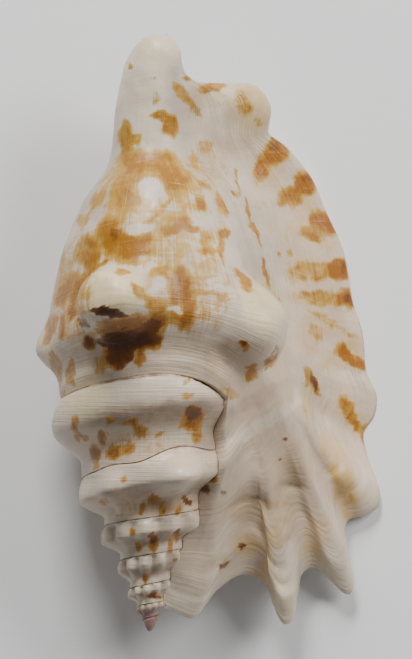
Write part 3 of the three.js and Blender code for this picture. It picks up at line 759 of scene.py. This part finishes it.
spireOchreMarks = [
    (193, 417, 10, 13, 0.97), (195, 434, 6, 8, 0.7), (76, 422, 4, 8, 0.7, -10), (82, 436, 5, 4, 0.6),
    (111, 419, 7, 3, 0.75), (133, 421, 7, 4, 0.8, 15), (141, 430, 7, 5, 0.8), (103, 437, 5, 6, 0.75),
    (95, 453, 6, 9, 0.8), (115, 452, 5, 8, 0.85), (129, 447, 4, 6, 0.75), (161, 432, 6, 3, 0.5),
    (97, 466, 3, 4, 0.5), (181, 425, 5, 2, 0.4), (186, 379, 5, 3, 0.6), (187, 396, 5, 4, 0.65),
    (124, 477, 3, 4, 0.8), (103, 499, 5, 3, 0.65), (153, 497, 6, 5, 0.55), (163, 507, 2.5, 6, 0.75),
    (178, 509, 2.5, 5, 0.85), (187, 498, 6, 3, 0.6, 50), (142, 507, 2, 6, 0.5), (131, 530, 2.5, 4, 0.7),
    (138, 546, 4, 5, 0.75), (155, 542, 3, 11, 0.95), (169, 543, 2.5, 8, 0.6), (177, 536, 3, 7, 0.8, 20),
    (145, 577, 2.5, 5, 0.8), (154, 595, 9, 2.5, 0.7), (174, 558, 3, 2, 0.4), (122, 515, 4, 3, 0.3),
    (145, 445, 50, 16, 0.15), (150, 505, 35, 10, 0.2),
]
spireUmberMarks = [
    (193, 411, 9, 7, 0.7), (187, 499, 6, 3, 0.8, 50), (178, 531, 4, 4, 0.7, 45), (154, 536, 2.5, 6, 0.7),
    (154, 596, 8, 2.5, 0.45),
]
# partly the shell's cream tone on the horn and knobs, partly painted light on the penultimate whorl's
# left
ivoryAndLightMarks = [
    (112, 292, 34, 22, 0.85), (262, 305, 20, 28, 0.8, -25), (150, 50, 26, 14, 0.4), (48, 345, 9, 16, 0.7),
    (256, 110, 20, 30, 0.45), (215, 370, 8, 22, 0.3, -30), (290, 600, 14, 22, 0.3),
    (85, 395, 26, 24, 0.5),
]
blushMarks = [
    (300, 430, 95, 110, 0.9), (330, 300, 45, 90, 0.9), (300, 200, 45, 60, 0.8, -30),
    (225, 125, 40, 35, 0.8), (130, 450, 90, 16, 0.8), (150, 355, 110, 20, 0.5), (140, 505, 60, 12, 0.7),
    (220, 540, 50, 60, 0.5),
]
whiteMarks = [
    (151, 190, 13, 13, 1), (160, 284, 6, 6, 0.95), (175, 311, 7, 4, 0.9), (140, 229, 16, 6, 0.9, -15),
    (164, 137, 5, 5, 0.8), (105, 215, 10, 8, 0.4), (159, 204, 7, 9, 0.5, 40), (205, 220, 14, 7, 0.4),
    (120, 300, 26, 12, 0.5), (270, 330, 14, 26, 0.6, -20), (280, 360, 10, 20, 0.4, -20),
]
# partly the shell's pale tone, partly painted light on the canal, the front lobe and a rear-wing fold
pearlAndLightMarks = [
    (143, 92, 26, 46, 0.85), (228, 112, 32, 26, 0.85), (286, 600, 12, 26, 0.6), (262, 318, 20, 22, 0.5),
    (104, 288, 26, 20, 0.7), (345, 580, 14, 24, 0.4, -20), (366, 490, 14, 24, 0.4),
    (190, 600, 26, 16, 0.4), (268, 420, 44, 6, 0.7, -31),
]
# painted shade, brownish grey, in the hollows, creases and folds; at the horn's base partly dirt
paintedShadeMarks = [
    (225, 365, 28, 26, 0.6, 30), (190, 350, 40, 14, 0.35, 10), (262, 290, 14, 30, 0.3, -20),
    (205, 505, 10, 50, 0.4), (245, 440, 26, 60, 0.2), (100, 355, 40, 10, 0.3), (245, 512, 18, 10, 0.3),
    (300, 470, 12, 40, 0.15, -20), (262, 560, 7, 30, 0.3, 10), (270, 160, 24, 10, 0.25, -30),
    (264, 503, 26, 4, 0.6, 4), (215, 560, 12, 5, 0.4, -25), (283, 520, 8, 3, 0.4, 10),
    (286, 538, 8, 3, 0.3), (268, 178, 20, 8, 0.3, -20), (75, 296, 2, 9, 0.9, 8), (82, 281, 2, 9, 0.9, 42),
    (95, 270, 2, 8, 0.8, 65), (254, 400, 38, 8, 0.4, -29), (300, 440, 5, 26, 0.2, 30),
]
# painted shade under the shoulders of the earlier whorls
spirePaintedShadeMarks = [
    (150, 412, 64, 12, 0.85, -5), (205, 425, 14, 30, 0.5), (126, 491, 32, 7, 0.8, -8),
    (172, 501, 28, 8, 0.8, -10), (196, 490, 8, 14, 0.5, 30), (158, 537, 34, 6, 0.75, -6),
    (120, 536, 8, 7, 0.5), (150, 571, 26, 5, 0.7, -4), (150, 594, 14, 4, 0.6),
]

# how the marks are laid on, and what the places get that the view doesn't show
painting = {
    "markFade": (0.6, 1.35),    # in radii of a mark
    "stirs": [(0.35, 3.5), (0.9, 2.2)],     # noise that frays the marks: how fine, how many pixels
    "seenFrom": -0.1,           # how far a place faces upwards
    "seenFull": 0.2,
    "rimPart": 0.9,             # of the growth: from here on, more that faces sideways is seen
    "rimMore": 0.6,
    "patchScale": 0.13,
    "patchSquash": 0.8,
    "fineScale": 0.35,
    "fineShare": 0.5,
    "unseenOchre": (0.05, 0.35),
    "ochreShare": 0.8,
    "unseenUmber": (0.35, 0.6),
    "umberShare": 0.5,
    "blushShare": 0.5,
    "hollowSpan": (0.03, 0.22),
    "hollowSpread": 3,
    "depthParts": (1.08, 1.3),  # of the growth, where the lining turns dark behind the lip
    "depthHeights": (5, 13),
    "coreHeights": (7, 14),
    "flareFull": 0.8,
    "tipSpan": (7, 2.5),
    "rearSpan": (58, 74),
}


def readAll(items, name, width=1, kind=float):
    values = np.empty((len(items), width), kind)
    items.foreach_get(name, values.ravel())
    return values if width > 1 else values[:, 0]


places = readAll(skin.vertices, "co", 3) / mm - np.array(apexAt)
facing = readAll(skin.vertex_normals, "vector", 3)
edgeEnds = readAll(skin.edges, "vertices", 2, int)
growth = readAll(skin.uv_layers["growth"].uv, "vector", 2)
loopVertex = readAll(skin.loops, "vertex_index", 1, int)
faceSolid = readAll(skin.polygons, "material_index", 1, int)
loopSolid = np.repeat(faceSolid, readAll(skin.polygons, "loop_total", 1, int))
a, b = edgeEnds.T
edgeCount = np.bincount(edgeEnds.ravel(), minlength=len(places))
along, lastSolid = np.zeros(len(places)), np.zeros(len(places), int)
firstSolid = np.full(len(places), len(solids))
np.maximum.at(along, loopVertex, growth[:, 0])
np.minimum.at(firstSolid, loopVertex, loopSolid)
np.maximum.at(lastSolid, loopVertex, loopSolid)
grownPart = along / wall["growthLength"]        # over 1 on the inside of the wall
onWall, onSpire, onCore = lastSolid == wallSlot, firstSolid == spireSlot, lastSolid == coreSlot


def stirAt(p):
    return sum((noise.noise_vector(p * scale) * reach for scale, reach in painting["stirs"]), Vector())


stir = np.array([stirAt(Vector(p)) for p in places])
columns = places[:, 0] / view["pixel"] + view["apexColumn"] + stir[:, 0]
rows = view["apexRow"] - places[:, 1] / view["pixel"] + stir[:, 1]


def ease(x, low, high):
    t = np.clip((x - low) / (high - low), 0, 1)
    return t * t * (3 - 2 * t)


def marked(marks):
    clear = np.ones(len(places))
    for column, row, wide, high, strength, *lean in marks:
        angle = math.radians(sum(lean))
        c, s = math.cos(angle), math.sin(angle)
        right, down = columns - column, rows - row
        off = np.hypot((right * c + down * s) / wide, (down * c - right * s) / high)
        clear *= 1 - strength * (1 - ease(off, *painting["markFade"]))
    return 1 - clear


def markedBoth(spireMarks, marks):
    return np.where(onSpire, marked(spireMarks), marked(marks))


def patchAt(p):
    broad = noise.noise(Vector((p[0], p[1] * painting["patchSquash"], p[2])) * painting["patchScale"])
    return broad + painting["fineShare"] * noise.noise(Vector(p) * painting["fineScale"])


# values with what each edge adds to them at its first and its second end
def gathered(values, atFirst, atSecond):
    total = values.copy()
    np.add.at(total, a, atFirst)
    np.add.at(total, b, atSecond)
    return total


# mean over the neighbours, a few times over
def spread(values, times):
    for _ in range(times):
        values = gathered(values, values[b], values[a]) / (1 + edgeCount)
    return values


inside = np.where(onCore | (onWall & (grownPart > 1)), 1.0, 0.0)
seenFrom = painting["seenFrom"] - painting["rimMore"] * (grownPart > painting["rimPart"])
seen = ease(facing[:, 2], seenFrom, painting["seenFull"]) * (1 - inside)
unseen = (1 - seen) * (1 - inside)
patches = np.array([patchAt(p) for p in places])
ochre = markedBoth(spireOchreMarks, ochreMarks) * np.where(onSpire, 1, 1 - marked(whiteMarks)) * seen
ochre += ease(patches, *painting["unseenOchre"]) * painting["ochreShare"] * unseen
# dark brown, below the horn partly painted shadow
umber = markedBoth(spireUmberMarks, umberAndShadowMarks) * seen
umber += ease(patches, *painting["unseenUmber"]) * painting["umberShare"] * unseen

# how far the skin bends away from each vertex, along its edges
least = 1e-6
apart = places[b] - places[a]
apart /= np.maximum(np.linalg.norm(apart, axis=1), least)[:, None]
bend = gathered(np.zeros(len(places)), (apart * facing[a]).sum(1), -(apart * facing[b]).sum(1))
hollow = spread(bend / np.maximum(edgeCount, 1), painting["hollowSpread"])
depth = ease(grownPart, *painting["depthParts"]) * ease(places[:, 2], *painting["depthHeights"])
depth = np.where(onCore, ease(places[:, 2], *painting["coreHeights"]), depth)
flare = ease(grownPart, wall["wingShare"], painting["flareFull"]) * onWall

paint = {
    "ochre": ochre,
    "umber": umber,
    "warm": marked(warmMarks) * seen * (1 - onSpire),
    # partly cream tone, partly painted light
    "ivoryAndLight": marked(ivoryAndLightMarks) * seen,
    "blush": marked(blushMarks) * seen + unseen * painting["blushShare"],
    # partly pale tone, partly painted light
    "pearlAndLight": marked(pearlAndLightMarks) * seen,
    # painted shade
    "paintedShade": markedBoth(spirePaintedShadeMarks, paintedShadeMarks) * seen,
    # where the skin curves inwards; it darkens there, partly as dirt and partly as painted shade
    "hollow": ease(hollow, *painting["hollowSpan"]),
    "seam": (firstSolid != lastSolid) * 1.0,
    "tip": ease(places[:, 1], *painting["tipSpan"]) * (lastSolid == spireSlot),
    "flare": flare,
    # 1 towards the apex, 0 on the flare and canal: stains get painted shade colours there, threads more
    # height
    "rear": (1 - flare) * (1 - ease(places[:, 1], *painting["rearSpan"])),
    "inside": spread(inside, 1),
    "depth": depth * inside,
}
for name, values in paint.items():
    layer = skin.attributes.new(name, "FLOAT", "POINT")
    layer.data.foreach_set("value", values.astype(np.float32))
print("painted", len(places), "vertices")

shellFinish = bpy.data.materials.new("shellFinish")
shellFinish.use_nodes = True
tree = shellFinish.node_tree


# shader nodes: sockets among the inputs are linked, other values are set
def add(kind, inputs, **settings):
    node = tree.nodes.new("ShaderNode" + kind)
    for name, value in settings.items():
        setattr(node, name, value)
    for name, value in inputs.items():
        if isinstance(value, bpy.types.NodeSocket):
            tree.links.new(value, node.inputs[name])
        else:
            node.inputs[name].default_value = value
    return node


def calc(operation, a, b=0.5, c=0.5):
    return add("Math", {0: a, 1: b, 2: c}, operation=operation).outputs[0]


def times(a, b):
    return calc("MULTIPLY", a, b)


# amounts go by name, too, unless they vary
def plus(value, pattern, amount):
    return calc("MULTIPLY_ADD", pattern, amounts.get(amount, amount), value)


# a value raised and lowered by a pattern whose mean is 0.5
def swayed(value, pattern, amount):
    return plus(value, calc("SUBTRACT", pattern), amount)


def mapped(value, low, high, start=0.0, end=1.0):
    inputs = {"Value": value, "From Min": low, "From Max": high, "To Min": start, "To Max": end}
    return add("MapRange", inputs, interpolation_type="SMOOTHSTEP").outputs[0]


def ramp(value, name):
    return mapped(value, *ramps[name])


# colors go by name
def tint(factor, *pair):
    under, over = [(*colors[color], 1) if isinstance(color, str) else color for color in pair]
    return add("Mix", {"Factor": factor, 6: under, 7: over}, data_type="RGBA").outputs[2]


def grain(vector, stretch, detail=3, distortion=0.0, roughness=0.5):
    scaled = add("VectorMath", {0: vector, 1: stretch}, operation="MULTIPLY").outputs[0]
    inputs = {"Vector": scaled, "Scale": 1, "Detail": detail, "Distortion": distortion,
              "Roughness": roughness}
    return add("TexNoise", inputs).outputs[0]


def painted(name):
    return add("Attribute", {}, attribute_name=name).outputs["Fac"]


colors = {
    "white": (0.65, 0.54, 0.41),
    "grey": (0.53, 0.44, 0.34),
    # partly the shell's cream tone, partly painted light
    "ivoryAndLight": (0.76, 0.62, 0.33),
    "blush": (0.74, 0.54, 0.37),
    # partly the shell's pale tone, partly painted light
    "pearlAndLight": (0.88, 0.75, 0.56),
    "thread": (0.85, 0.8, 0.74),
    "warm": (0.64, 0.36, 0.06),
    "lightOchre": (0.5, 0.28, 0.022),
    "ochre": (0.33, 0.13, 0.002),
    # darker, more orange copies of the ochres for the rear, which lies in shade: painted shade
    "ochreInShade": (0.48, 0.24, 0.035),
    "brownInShade": (0.29, 0.11, 0.01),
    "lipOchre": (0.33, 0.11, 0.001),
    "chestnut": (0.17, 0.05, 0.002),
    "umber": (0.06, 0.014, 0.003),
    # painted shade
    "paintedShade": (0.25, 0.165, 0.1),
    "seam": (0.16, 0.08, 0.035),
    # dirt along the growth lines; in the hollows partly dirt, partly painted shade
    "dirtAndShade": (0.3, 0.23, 0.17),
    "mauve": (0.26, 0.13, 0.12),
    "glaze": (0.78, 0.68, 0.56),
    "paleGlaze": (0.84, 0.78, 0.7),
    "purple": (0.13, 0.035, 0.045),
}

# from where to where a ramp goes, and what it gives at both ends if that isn't 0 and 1
ramps = {
    "cloud": (0.35, 0.65),
    "cloudyBlush": (0.2, 0.7, 1, 0.5),
    "growthDirt": (0.35, 0.75, 0, 0.09),
    "paleThread": (0.5, 0.75, 0, 0.12),
    "patchyPaintedShade": (0.3, 0.7, 0.9, 0.5),
    "patchyWarm": (0.3, 0.7, 0.35, 0.95),
    "ochrePresent": (0.02, 0.25),
    "threadGap": (0.62, 0.75, 1, 0.5),
    "washFullAt": (0, 1, 0.42, 0.62),
    "stain": (0.35, 1),
    "chestnut": (0.15, 0.5, 0, 0.97),
    "umber": (0.45, 1.1, 0, 0.95),
    "mauve": (0.1, 0.9, 0, 0.85),
    "patchyDirtAndShade": (0.3, 0.6, 0.15, 0.7),
    "atSuture": (0.04, 0.18, 1, 0),
    "atSeam": (0.55, 0.95),
    "patchySuture": (0.35, 0.6, 0.2, 0.85),
    "speck": (0.72, 0.76, 0, 0.75),
    "speckPatch": (0.5, 0.6),
    "purple": (0.2, 0.9),
    "lined": (0.3, 0.8),
    "growthRidge": (0.2, 0.8),
    "growthHeight": (0, 1, 0.015, 0.1),
    "threadRidge": (0.3, 0.7),
    "threadHeight": (0, 1, 0.01, 0.042),
    "liningRelief": (0, 1, 1, 0.25),
    "liningRoughness": (0, 1, 1, 0.5),
    "liningCoat": (0, 1, 0.1, 0.5),
}
# how strongly patterns sway the stains, heights of the relief in mm, and the gloss
amounts = {
    "ochreBlotches": 1.1,
    "ochreLines": 0.7,
    "ochreThreads": -0.15,
    "ochreFine": 0.9,
    "washFrom": 0.08,
    "washMost": 0.93,
    "umberBlotches": 0.9,
    "umberLines": 0.4,
    "mauveBlotches": 0.8,
    "depthBlotches": 0.3,
    "fineLineHeight": 0.015,
    "blotchHeight": 0.12,
    "speckHeight": -0.12,
    "sutureHeight": -0.15,
    "roughness": 0.3,
    "speckRoughness": 0.2,
    "hollowRoughness": 0.2,
    "coatRoughness": 0.2,
    "refraction": 1.5,
}

objectPlace = add("TexCoord", {}).outputs["Object"]
place = add("VectorMath", {0: objectPlace, 3: 1 / mm}, operation="SCALE").outputs[0]
across = add("UVMap", {}, uv_map="growth").outputs[0]
growthLines = grain(across, stretch=(1.9, 0.12, 1), detail=4, distortion=0.4)
fineLines = grain(across, stretch=(6, 0.3, 1), detail=2, distortion=0.3)
spiralLines = grain(across, stretch=(0.09, 2.1, 1), distortion=0.3)
blotches = grain(place, stretch=(0.3, 0.3, 0.3), detail=5, distortion=0.6, roughness=0.65)
fineBlotches = grain(place, stretch=(0.6, 0.45, 0.6), detail=4, distortion=0.3)
clouds = grain(place, stretch=(0.07, 0.07, 0.07))
specks = grain(place, stretch=(2, 2, 2))

# ochre soaks in along the growth lines, and thin white spiral lines cross it
flare, rear, strength = painted("flare"), painted("rear"), painted("ochre")
soaked = swayed(strength, blotches, "ochreBlotches")
soaked = swayed(soaked, growthLines, "ochreLines")
soaked = swayed(soaked, spiralLines, "ochreThreads")
present = times(ramp(strength, "ochrePresent"), ramp(spiralLines, "threadGap"))
fullAt = ramp(flare, "washFullAt")
wash = times(mapped(soaked, amounts["washFrom"], fullAt, 0, amounts["washMost"]), present)
stain = times(ramp(swayed(soaked, fineBlotches, "ochreFine"), "stain"), present)
# towards the rear, which lies in shade, the stains darken and turn more orange: painted shade
darkStain = tint(rear, "ochre", "brownInShade")
umber = swayed(painted("umber"), blotches, "umberBlotches")
umber = swayed(umber, growthLines, "umberLines")
mauve = swayed(painted("tip"), blotches, "mauveBlotches")
hollow = painted("hollow")
sutureMap = add("UVMap", {}, uv_map="suture").outputs[0]
fromSuture = add("SeparateXYZ", {0: sutureMap}).outputs[0]
sutureLine = calc("MAXIMUM", ramp(fromSuture, "atSuture"), ramp(painted("seam"), "atSeam"))
sutureLine = times(sutureLine, ramp(blotches, "patchySuture"))
speckled = times(ramp(specks, "speck"), ramp(blotches, "speckPatch"))

# what lies on the bare shell, from the lowest to the top: stains, dirt, and painted light and shade
layers = [
    (times(painted("blush"), ramp(clouds, "cloudyBlush")), "blush"),
    # pale tones, partly painted light
    (painted("pearlAndLight"), "pearlAndLight"),
    (painted("ivoryAndLight"), "ivoryAndLight"),
    (ramp(growthLines, "growthDirt"), "dirtAndShade"),
    (ramp(spiralLines, "paleThread"), "thread"),
    # painted shade in the hollows and under the shoulders
    (times(painted("paintedShade"), ramp(blotches, "patchyPaintedShade")), "paintedShade"),
    (times(painted("warm"), ramp(blotches, "patchyWarm")), "warm"),
    # the wash too is darker and more orange towards the rear: painted shade
    (wash, tint(rear, "lightOchre", "ochreInShade")),
    (stain, tint(flare, darkStain, "lipOchre")),
    (ramp(umber, "chestnut"), "chestnut"),
    (ramp(umber, "umber"), "umber"),
    (ramp(mauve, "mauve"), "mauve"),
    # darker in patches where the skin curves inwards: partly dirt, partly painted shade
    (times(hollow, ramp(specks, "patchyDirtAndShade")), "dirtAndShade"),
    (sutureLine, "seam"),
    (speckled, "umber"),
]
body = tint(ramp(clouds, "cloud"), "white", "grey")
for amount, color in layers:
    body = tint(amount, body, color)

# the glazed lining of the aperture
lining = tint(ramp(clouds, "cloud"), "glaze", "paleGlaze")
depth = plus(painted("depth"), blotches, "depthBlotches")
lining = tint(ramp(depth, "purple"), lining, "purple")
lined = ramp(painted("inside"), "lined")
skinColor = tint(lined, body, lining)

growthHeight = ramp(flare, "growthHeight")
threadHeight = ramp(rear, "threadHeight")
relief = times(ramp(growthLines, "growthRidge"), growthHeight)
relief = plus(relief, fineLines, "fineLineHeight")
relief = plus(relief, ramp(spiralLines, "threadRidge"), threadHeight)
relief = plus(relief, blotches, "blotchHeight")
relief = plus(relief, speckled, "speckHeight")
relief = plus(relief, sutureLine, "sutureHeight")
relief = times(relief, ramp(lined, "liningRelief"))
bump = add("Bump", {"Strength": 1, "Distance": mm, "Height": relief})
roughness = plus(amounts["roughness"], specks, "speckRoughness")
roughness = plus(roughness, hollow, "hollowRoughness")
roughness = times(roughness, ramp(lined, "liningRoughness"))
shader = tree.nodes["Principled BSDF"]
tree.links.new(skinColor, shader.inputs["Base Color"])
tree.links.new(roughness, shader.inputs["Roughness"])
tree.links.new(bump.outputs[0], shader.inputs["Normal"])
tree.links.new(ramp(lined, "liningCoat"), shader.inputs["Coat Weight"])
shader.inputs["Coat Roughness"].default_value = amounts["coatRoughness"]
shader.inputs["IOR"].default_value = amounts["refraction"]
skin.materials.clear()
skin.materials.append(shellFinish)

# table, light and camera
studio = {
    "floorSize": 6,
    "floorColor": (0.9, 0.9, 0.9, 1),
    "floorRoughness": 0.9,
    "lamps": {                  # place, size and power
        "keyLight": ((-0.15, 0.85, 0.6), 0.3, 12),
        "fillLight": ((0.75, 0.5, 0.65), 0.5, 9),
    },
    "worldColor": (1, 1, 1, 1),
    "worldStrength": 0.2,
    "lens": 600,
    "clip": (0.1, 20),
}
floorMesh = bpy.data.meshes.new("floor")
bm = bmesh.new()
bmesh.ops.create_grid(bm, x_segments=1, y_segments=1, size=studio["floorSize"] / 2)
bm.to_mesh(floorMesh)
bm.free()
floor = placed("floor", floorMesh)
floorFinish = bpy.data.materials.new("floorFinish")
floorFinish.use_nodes = True
floorShader = floorFinish.node_tree.nodes["Principled BSDF"]
floorShader.inputs["Base Color"].default_value = studio["floorColor"]
floorShader.inputs["Roughness"].default_value = studio["floorRoughness"]
floorMesh.materials.append(floorFinish)

# both lamps point at the middle of the table
for name, (at, size, power) in studio["lamps"].items():
    lamp = bpy.data.lights.new(name, "AREA")
    lamp.size = size
    lamp.energy = power
    holder = placed(name, lamp)
    holder.location = at
    holder.rotation_mode = "QUATERNION"
    holder.rotation_quaternion = (-Vector(at)).to_track_quat("-Z", "Y")
world = bpy.data.worlds.new("studio")
scene.world = world
world.use_nodes = True
background = world.node_tree.nodes["Background"]
background.inputs["Color"].default_value = studio["worldColor"]
background.inputs["Strength"].default_value = studio["worldStrength"]

lens = bpy.data.cameras.new("camera")
lens.lens = studio["lens"]
lens.clip_start, lens.clip_end = studio["clip"]
camera = placed("camera", lens)
middleX = (view["size"][0] / 2 - view["apexColumn"]) * view["pixel"] + apexAt.x
middleY = (view["apexRow"] - view["size"][1] / 2) * view["pixel"] + apexAt.y
distance = view["size"][1] * view["pixel"] * studio["lens"] / lens.sensor_width
camera.location = Vector((middleX, middleY, view["level"] + distance)) * mm
scene.camera = camera
print("studio ready")
